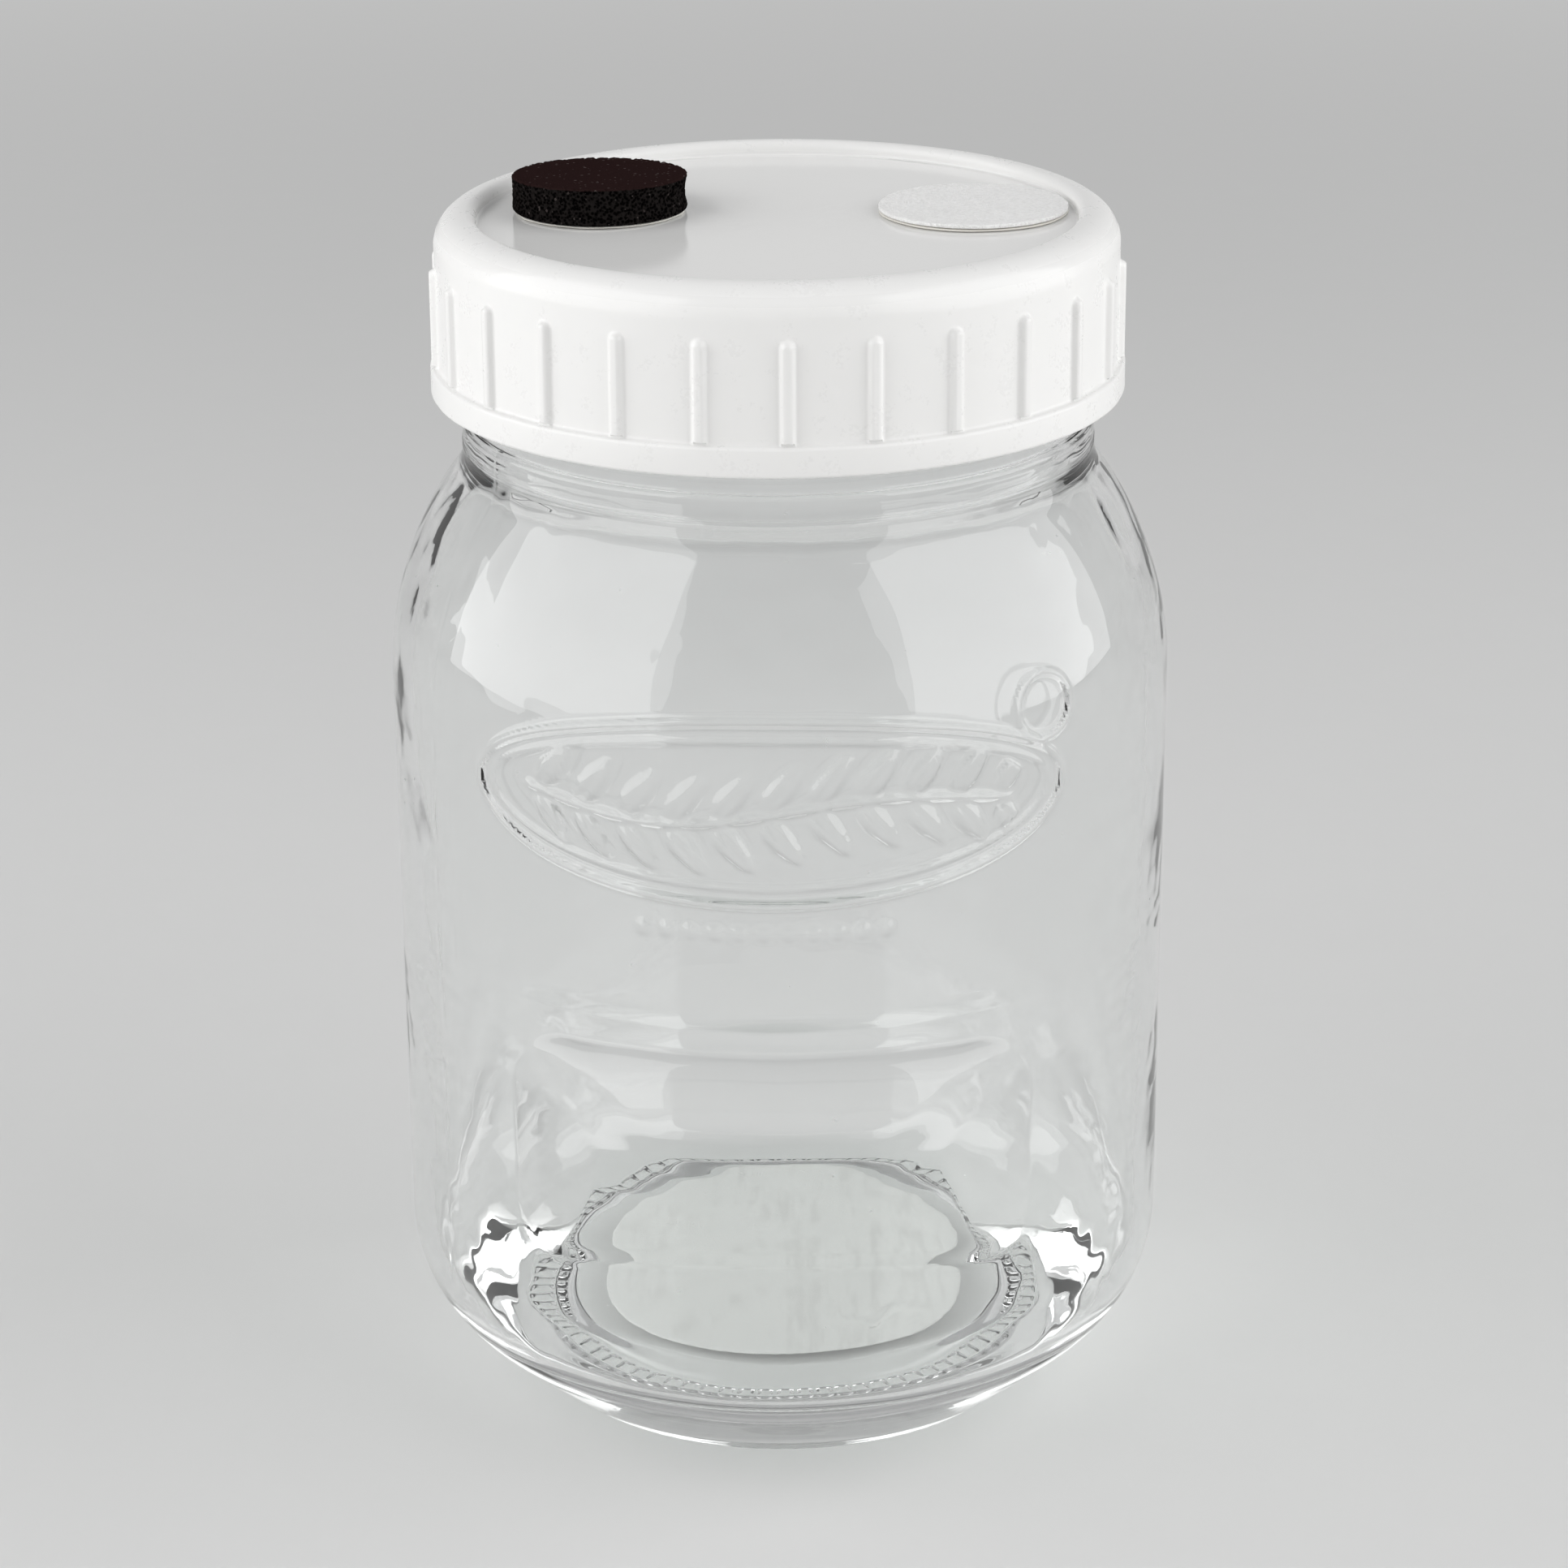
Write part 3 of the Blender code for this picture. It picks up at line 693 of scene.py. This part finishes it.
def seal_mesh():
    """The flat silicone ring with rounded edges."""
    inner, outer = BORE - 0.3, NECK + 0.3
    bottom, top = SEAL_BOTTOM, SEAL_TOP
    edge = 0.25
    stretches = [
        arc((outer - edge, top - edge), edge, 90, 0, 0.1),
        arc((outer - edge, bottom + edge), edge, 0, -90, 0.1),
        arc((inner + edge, bottom + edge), edge, 270, 180, 0.1),
        arc((inner + edge, top - edge), edge, 180, 90, 0.1),
    ]
    around = np.arange(192) * 2 * pi / 192
    profile = np.concatenate(stretches)
    rings = [np.stack([r * np.cos(around), r * np.sin(around), z + 0 * around], 1) for r, z in profile]
    return skin("lid_seal_ring", rings, loop=True)


def label_mesh():
    """The round paper label, its edge a little frayed and its paper slightly wavy."""
    top = PUSH_UP - LABEL_GAP
    bottom = top - LABEL_THICKNESS
    profile = np.concatenate([
        line((1.0, top), (LABEL_RADIUS - 0.2, top), 0.9),
        line((LABEL_RADIUS, top - 0.08), (LABEL_RADIUS, bottom + 0.05), 0.1),
        line((LABEL_RADIUS - 0.1, bottom), (1.0, bottom), 4.0),
    ])

    def wavy(x, y, z, r):
        edge = step_up(r, LABEL_RADIUS - 0.3, LABEL_RADIUS)
        flat = 0.05 * noise.noise(Vector((x, y, 0)) / 7)
        frayed = 0.12 * noise.noise(Vector((x, y, z)) / 0.9)
        return flat * (1 - edge) + frayed * edge

    return turned_disc("base_label", profile, 360, (0, 0), wavy)


# Finishes
def put(tree, kind, sockets=None, **settings):
    """Adds a node: settings are its options, and sockets its inputs, each a value or an output to join."""
    made = tree.nodes.new("ShaderNode" + kind)
    for option, value in settings.items():
        setattr(made, option, value)
    for key, value in (sockets or {}).items():
        if isinstance(value, bpy.types.NodeSocket):
            tree.links.new(value, made.inputs[key])
        else:
            made.inputs[key].default_value = value
    return made


def maths(tree, operation, a, b=0.0, c=0.0):
    return put(tree, "Math", {0: a, 1: b, 2: c}, operation=operation).outputs[0]


def product(tree, a, b):
    return maths(tree, "MULTIPLY", a, b)


def noisy(tree, where, scale, **sockets):
    """The value of a noise texture."""
    return put(tree, "TexNoise", {"Vector": where, "Scale": scale, **sockets}).outputs[0]


def object_place(tree):
    return put(tree, "TexCoord").outputs["Object"]


def part_of(tree, vector, axis):
    """One coordinate of a vector: 0 for x, 1 for y, 2 for z."""
    return put(tree, "SeparateXYZ", {0: vector}).outputs[axis]


def spread(tree, value, low, high, to_low=0.0, to_high=1.0):
    """Maps low..high to to_low..to_high, softly and clamped."""
    sockets = {"Value": value, "From Min": low, "From Max": high, "To Min": to_low, "To Max": to_high}
    return put(tree, "MapRange", sockets, interpolation_type="SMOOTHSTEP").outputs[0]


def tint(tree, share, a, b):
    """Mixes two colours."""
    made = put(tree, "Mix", data_type="RGBA")
    for key, value in ((0, share), (6, a), (7, b)):
        if isinstance(value, bpy.types.NodeSocket):
            tree.links.new(value, made.inputs[key])
        else:
            made.inputs[key].default_value = value if key == 0 else (*value, 1)
    return made.outputs[2]


def effect(name, inputs, outputs):
    """An empty node group with float inputs (name, value) and outputs (name, kind)."""
    group = bpy.data.node_groups.new(name, "ShaderNodeTree")
    for label, value in inputs:
        socket = group.interface.new_socket(label, in_out="INPUT", socket_type="NodeSocketFloat")
        socket.default_value = value
    for label, kind in outputs:
        group.interface.new_socket(label, in_out="OUTPUT", socket_type=kind)
    return group, group.nodes.new("NodeGroupInput"), group.nodes.new("NodeGroupOutput")


def in_mm(tree, size):
    """Object coordinates measured in units of size millimetres."""
    share = maths(tree, "DIVIDE", 1000.0, size)
    return put(tree, "VectorMath", {0: object_place(tree), "Scale": share}, operation="SCALE").outputs[0]


def grain_effect():
    """Fine uneven surface: Height for a bump and Shade for colour, about 0.5 each."""
    tree, given, gives = effect("fine_grain", [("Size mm", 1.0), ("Roughness", 0.6)],
                                [("Height", "NodeSocketFloat"), ("Shade", "NodeSocketFloat")])
    place = in_mm(tree, given.outputs["Size mm"])
    fine = noisy(tree, place, 1.0, Detail=4.0, Roughness=given.outputs["Roughness"])
    wide = noisy(tree, place, 0.11, Detail=2.0)
    tree.links.new(fine, gives.inputs["Height"])
    shade = maths(tree, "MULTIPLY_ADD", wide, 0.6, product(tree, fine, 0.4))
    tree.links.new(shade, gives.inputs["Shade"])
    return tree


def speck_effect():
    """Scattered dust: Mask is 1 on a speck."""
    tree, given, gives = effect("dust_specks", [("Size mm", 0.15), ("Spacing mm", 2.5), ("Share", 0.5)],
                                [("Mask", "NodeSocketFloat")])
    place = in_mm(tree, given.outputs["Spacing mm"])
    spots = put(tree, "TexVoronoi", {"Vector": place, "Scale": 1.0, "Randomness": 1.0})
    radius = maths(tree, "DIVIDE", given.outputs["Size mm"], given.outputs["Spacing mm"])
    chance = put(tree, "SeparateColor", {0: spots.outputs["Color"]})
    chosen = maths(tree, "LESS_THAN", chance.outputs[0], given.outputs["Share"])
    size = product(tree, radius, maths(tree, "ADD", chance.outputs[1], 0.4))
    near = maths(tree, "LESS_THAN", spots.outputs["Distance"], size)
    tree.links.new(product(tree, near, chosen), gives.inputs["Mask"])
    return tree


def smudge_effect():
    """Wiped and handled gloss: Mask is 0 where the surface is clean."""
    tree, given, gives = effect("handling_smudges", [("Size mm", 22.0)], [("Mask", "NodeSocketFloat")])
    place = in_mm(tree, given.outputs["Size mm"])
    wide = noisy(tree, place, 1.0, Detail=3.0, Roughness=0.55, Distortion=0.6)
    streak = noisy(tree, place, 7.0, Detail=2.0, Distortion=1.4)
    soft = spread(tree, wide, 0.50, 0.72)
    lines = spread(tree, streak, 0.35, 0.7, 0.4, 1.0)
    tree.links.new(product(tree, soft, lines), gives.inputs["Mask"])
    return tree


def fibre_effect():
    """Matted fibres: Height runs along thin crossing strands."""
    tree, given, gives = effect("matted_fibres", [("Width mm", 0.12), ("Length mm", 2.0)],
                                [("Height", "NodeSocketFloat")])
    place = object_place(tree)
    across = maths(tree, "DIVIDE", 1000.0, given.outputs["Width mm"])
    along = maths(tree, "DIVIDE", 1000.0, given.outputs["Length mm"])
    stretch = put(tree, "CombineXYZ", {0: along, 1: across, 2: along}).outputs[0]
    layers = []
    for number, turn in enumerate((12, 47, 84, 121, 155)):
        way = {"Vector": place, "Rotation": (0, 0, radians(turn)), "Location": (0.013 * number, 0, 0)}
        turned = put(tree, "Mapping", way).outputs[0]
        strand = put(tree, "VectorMath", {0: turned, 1: stretch}, operation="MULTIPLY").outputs[0]
        layers.append(spread(tree, noisy(tree, strand, 1.0, Detail=1.0, Distortion=0.5), 0.52, 0.72))
    total = layers[0]
    for layer in layers[1:]:
        total = maths(tree, "MAXIMUM", total, layer)
    tree.links.new(total, gives.inputs["Height"])
    return tree


GRAIN = grain_effect()
SPECKS = speck_effect()
SMUDGES = smudge_effect()
FIBRES = fibre_effect()


def using(tree, group, **values):
    """Places an effect in a material with its own values."""
    made = tree.nodes.new("ShaderNodeGroup")
    made.node_tree = group
    for key, value in values.items():
        made.inputs[key.replace("_", " ")].default_value = value
    return made


def finish(name, colour, roughness, **sockets):
    """A material with its Principled shader; the sockets are constants named with underscores."""
    made = bpy.data.materials.new(name)
    made.use_nodes = True
    shader = made.node_tree.nodes["Principled BSDF"]
    shader.inputs["Base Color"].default_value = (*colour, 1)
    shader.inputs["Roughness"].default_value = roughness
    for key, value in sockets.items():
        shader.inputs[key.replace("_", " ")].default_value = value
    return made, made.node_tree, shader


def paint(tree, shader, colour):
    tree.links.new(colour, shader.inputs["Base Color"])


def raised(tree, shader, height, depth_mm):
    """Joins a height to the shader's normal as a bump this deep."""
    made = put(tree, "Bump", {"Height": height, "Strength": 1.0, "Distance": depth_mm * MM})
    tree.links.new(made.outputs[0], shader.inputs["Normal"])


def clear_glass():
    """Glass with faint smudges and dust; lamps reach what is inside it and behind it."""
    clear = {"Transmission_Weight": 1.0, "IOR": 1.51}
    made, tree, shader = finish("clear_glass", (0.988, 0.995, 0.992), 0.0, **clear)
    smudge = using(tree, SMUDGES, Size_mm=26.0)
    dust = using(tree, SPECKS, Size_mm=0.16, Spacing_mm=5.0, Share=0.35)
    wiped = spread(tree, smudge.outputs[0], 0, 1, 0.0, 0.03)
    haze = maths(tree, "MAXIMUM", wiped, product(tree, dust.outputs[0], 0.5))
    tree.links.new(haze, shader.inputs["Roughness"])
    facing = put(tree, "LayerWeight", {"Blend": 0.35}).outputs["Facing"]
    shade = tint(tree, spread(tree, facing, 0.15, 0.95), (0.975, 0.985, 0.98), (0.78, 0.81, 0.80))
    through = put(tree, "BsdfTransparent", {"Color": shade})
    lamp = put(tree, "LightPath").outputs["Is Shadow Ray"]
    mix = put(tree, "MixShader", {0: lamp, 1: shader.outputs[0], 2: through.outputs[0]})
    tree.links.new(mix.outputs[0], tree.nodes["Material Output"].inputs["Surface"])
    return made


def white_polypropylene():
    """Satin moulded plastic, glossier on the flat panel."""
    made, tree, shader = finish("white_polypropylene", (0.85, 0.845, 0.835), 0.3, IOR=1.49)
    grain = using(tree, GRAIN, Size_mm=0.45, Roughness=0.6)
    paint(tree, shader, tint(tree, grain.outputs["Shade"], (0.846, 0.842, 0.832), (0.860, 0.857, 0.846)))
    height = part_of(tree, object_place(tree), 2)
    panel = spread(tree, height, (PANEL_TOP + 0.5) * MM, (PANEL_TOP + 0.2) * MM)
    above = spread(tree, height, (PANEL_TOP - 0.8) * MM, (PANEL_TOP - 0.4) * MM)
    polished = product(tree, panel, above)
    satin = spread(tree, grain.outputs["Shade"], 0.35, 0.65, 0.27, 0.31)
    tree.links.new(spread(tree, polished, 0, 1, satin, 0.13), shader.inputs["Roughness"])
    raised(tree, shader, grain.outputs["Height"], 0.004)
    return made


def black_foam():
    """Dark foam: a smooth dusty skin on its leaning top, and open cells round its side, with painted shade
    darkening the middle of each cell.
    """
    made, tree, shader = finish("black_foam", (0.018, 0.009, 0.009), 0.9, Specular_IOR_Level=0.0)
    place = object_place(tree)
    level = maths(tree, "MULTIPLY_ADD", part_of(tree, place, 1), FOAM_SLOPE, part_of(tree, place, 2))
    skin_height = DISC_BOTTOM + PORT_HEIGHT - FOAM_LEAN / 2 + FOAM_SLOPE * PORT_PLACE[1]
    top = spread(tree, level, (skin_height - 0.28) * MM, (skin_height - 0.10) * MM)
    grain = using(tree, GRAIN, Size_mm=0.22, Roughness=0.75)
    dust = using(tree, SPECKS, Size_mm=0.15, Spacing_mm=0.75, Share=0.45)
    # The side's colour is darkest in the middle of each cell: painted shade inside the open pores.
    holes = put(tree, "TexVoronoi", {"Vector": in_mm(tree, 0.42), "Scale": 1.0}).outputs["Distance"]
    painted_pore_shade = spread(tree, holes, 0.30, 0.75)
    side = tint(tree, painted_pore_shade, (0.0015, 0.0013, 0.0013), (0.014, 0.012, 0.0115))
    smooth = tint(tree, grain.outputs["Height"], (0.011, 0.006, 0.006), (0.030, 0.0155, 0.015))
    colour = tint(tree, top, side, smooth)
    light_dust = product(tree, dust.outputs[0], spread(tree, top, 0, 1, 0.16, 0.24))
    paint(tree, shader, tint(tree, light_dust, colour, (0.26, 0.22, 0.21)))
    raised(tree, shader, grain.outputs["Height"], 0.07)
    return made


def filter_fibre():
    """White pressed fibre, mottled and soft."""
    soft = {"Specular_IOR_Level": 0.2, "Sheen_Weight": 0.15}
    made, tree, shader = finish("filter_fibre", (0.94, 0.935, 0.93), 0.9, **soft)
    fibres = using(tree, FIBRES, Width_mm=0.16, Length_mm=1.6)
    grain = using(tree, GRAIN, Size_mm=0.45, Roughness=0.7)
    mottle = spread(tree, grain.outputs["Height"], 0.38, 0.62)
    cloud = tint(tree, mottle, (0.85, 0.845, 0.835), (0.98, 0.975, 0.965))
    paint(tree, shader, tint(tree, product(tree, fibres.outputs[0], 0.6), cloud, (0.985, 0.982, 0.975)))
    height = maths(tree, "ADD", fibres.outputs[0], grain.outputs["Height"])
    raised(tree, shader, height, 0.06)
    return made


def adhesive_film():
    made, tree, shader = finish("adhesive_film", (0.78, 0.76, 0.70), 0.35)
    grain = using(tree, GRAIN, Size_mm=0.6, Roughness=0.6)
    paint(tree, shader, tint(tree, grain.outputs["Shade"], (0.72, 0.70, 0.64), (0.82, 0.80, 0.75)))
    raised(tree, shader, grain.outputs["Height"], 0.03)
    return made


def silicone():
    milky = {"Subsurface_Weight": 0.5, "Subsurface_Scale": 0.002}
    made, tree, shader = finish("silicone", (0.72, 0.72, 0.70), 0.45, **milky)
    grain = using(tree, GRAIN, Size_mm=0.35, Roughness=0.6)
    paint(tree, shader, tint(tree, grain.outputs["Shade"], (0.66, 0.66, 0.64), (0.77, 0.77, 0.75)))
    raised(tree, shader, grain.outputs["Height"], 0.02)
    return made


def label_paper():
    """Matt white paper with faint streaks where the adhesive shows through."""
    made, tree, shader = finish("label_paper", (0.90, 0.89, 0.87), 0.85, Specular_IOR_Level=0.25)
    fibres = using(tree, FIBRES, Width_mm=0.10, Length_mm=1.2)
    grain = using(tree, GRAIN, Size_mm=1.4, Roughness=0.6)
    cloud = tint(tree, grain.outputs["Shade"], (0.86, 0.855, 0.84), (0.93, 0.925, 0.91))
    paper = tint(tree, product(tree, fibres.outputs[0], 0.4), cloud, (0.95, 0.945, 0.935))
    narrow = {0: object_place(tree), 1: (420.0, 60.0, 60.0)}
    drawn = put(tree, "VectorMath", narrow, operation="MULTIPLY").outputs[0]
    streaks = noisy(tree, drawn, 1.6, Detail=3.0)
    patches = noisy(tree, in_mm(tree, 9.0), 1.0, Detail=2.0)
    soaked = product(tree, spread(tree, streaks, 0.42, 0.68), spread(tree, patches, 0.40, 0.60))
    paint(tree, shader, tint(tree, product(tree, soaked, 0.4), paper, (0.70, 0.69, 0.675)))
    raised(tree, shader, fibres.outputs[0], 0.03)
    return made


# Assembly
def dress():
    """Makes every piece and puts it on its body."""
    glass, plastic, film = clear_glass(), white_polypropylene(), adhesive_film()
    piece("clear_jar", glass_jar_mesh(), "jar", "glass_jar", glass)
    lid = piece("ribbed_lid", screw_lid_mesh(), "lid", "screw_lid", plastic)
    cut_hole(lid, PORT_PLACE, NEEDLE_HOLE)
    cut_hole(lid, FILTER_PLACE, VENT_HOLE)
    piece("seal_ring", seal_mesh(), "seal", "lid_seal_ring", silicone())
    port_foam = piece("port_foam", foam_port_mesh(), "lid", "foam_port_disc", black_foam())
    under_port = film_mesh("port_film", 0.5, PORT_RADIUS - FILM_SETBACK, PORT_PLACE, 4)
    piece("port_film", under_port, "lid", "foam_adhesive_disc", film)
    piece("filter_pad", filter_mesh(), "lid", "filter_disc", filter_fibre())
    under_filter = film_mesh("filter_film", FILTER_RING_HOLE, FILTER_RADIUS, FILTER_PLACE, 6)
    piece("filter_film", under_filter, "lid", "filter_adhesive_ring", film)
    piece("paper_label", label_mesh(), "jar", "base_label", label_paper())


# Studio
FLOOR_TONE = (0.72, 0.72, 0.715)
FLOOR_LEVEL = -0.05
FAR_TONE = (0.60, 0.60, 0.597)
OVERHEAD_TONE = (0.34, 0.342, 0.345)
SOFTBOX_SIZE = (1.25, 1.40)
SOFTBOX_DISTANCE = 0.85
SOFTBOX_HEIGHT = 0.72
SOFTBOXES = (("left_softbox", -72, 10.3), ("right_softbox", 74, 9.6))
LENS = 99.48
SHIFT = 4 / 1932
VIEWPOINT = (0, -0.5532, 0.2895)
LOOK_DOWN = radians(20.48)
ROLL = radians(-0.404)


def studio():
    """A pale paper floor that fades into a pale surround, and two soft boxes."""
    count = 96
    rings = []
    for r in (60, 140, 300, 600, 1200, 2500, 5000, 9000):
        around = np.arange(count) * 2 * pi / count
        rings.append(np.stack([r * np.cos(around), r * np.sin(around), 0 * around + FLOOR_LEVEL], 1))
    floor_mesh = skin("floor", rings, start=(0, 0, FLOOR_LEVEL))
    floor_mesh.flip_normals()
    floor = bpy.data.objects.new("floor", floor_mesh)
    bpy.context.scene.collection.objects.link(floor)
    made, tree, shader = finish("floor_paper", FLOOR_TONE, 0.9, Specular_IOR_Level=0.1)
    grain = using(tree, GRAIN, Size_mm=1.5, Roughness=0.6)
    low = tuple(0.99 * c for c in FLOOR_TONE)
    high = tuple(1.01 * c for c in FLOOR_TONE)
    paint(tree, shader, tint(tree, grain.outputs["Shade"], low, high))
    floor_mesh.materials.append(made)
    distance = put(tree, "VectorMath", {0: object_place(tree)}, operation="LENGTH").outputs["Value"]
    far = spread(tree, distance, 0.35, 1.6)
    path = put(tree, "LightPath").outputs
    seen = maths(tree, "MAXIMUM", path["Is Glossy Ray"], path["Is Transmission Ray"])
    seen = maths(tree, "MAXIMUM", path["Is Camera Ray"], seen)
    glow = put(tree, "Emission", {"Color": (*FAR_TONE, 1), "Strength": 1.0})
    mix = put(tree, "MixShader", {0: product(tree, far, seen), 1: shader.outputs[0], 2: glow.outputs[0]})
    tree.links.new(mix.outputs[0], tree.nodes["Material Output"].inputs["Surface"])

    world = bpy.data.worlds.new("studio")
    bpy.context.scene.world = world
    world.use_nodes = True
    tree = world.node_tree
    height = part_of(tree, put(tree, "TexCoord").outputs["Generated"], 2)
    sky = tint(tree, spread(tree, height, 0.10, 0.55), FAR_TONE, OVERHEAD_TONE)
    back = tree.nodes["Background"]
    tree.links.new(sky, back.inputs["Color"])
    back.inputs["Strength"].default_value = 1.0

    for name, azimuth, power in SOFTBOXES:
        lamp = bpy.data.lights.new(name, "AREA")
        lamp.shape = "RECTANGLE"
        lamp.size, lamp.size_y = SOFTBOX_SIZE
        lamp.energy = power
        made = bpy.data.objects.new(name, lamp)
        bpy.context.scene.collection.objects.link(made)
        turn = radians(azimuth)
        made.location = (SOFTBOX_DISTANCE * sin(turn), -SOFTBOX_DISTANCE * cos(turn), SOFTBOX_HEIGHT)
        made.rotation_euler = (radians(90), 0, turn)
        made.visible_camera = False


def camera():
    """The viewpoint: long lens, above the jar, with a slight roll."""
    made = bpy.data.objects.new("camera", bpy.data.cameras.new("camera"))
    bpy.context.scene.collection.objects.link(made)
    made.data.sensor_width = 36.0
    made.data.lens = LENS
    made.data.shift_x = SHIFT
    made.data.clip_start = 0.01
    turn = Matrix.Rotation(pi / 2 - LOOK_DOWN, 4, "X") @ Matrix.Rotation(ROLL, 4, "Z")
    made.matrix_world = Matrix.Translation(VIEWPOINT) @ turn
    bpy.context.scene.camera = made


dress()
studio()
camera()
bpy.context.scene.view_settings.view_transform = "Standard"
# Light that the thick glass turns back many times still finds its way out.
bpy.context.scene.cycles.glossy_bounces = 10
bpy.context.scene.cycles.use_denoising = True
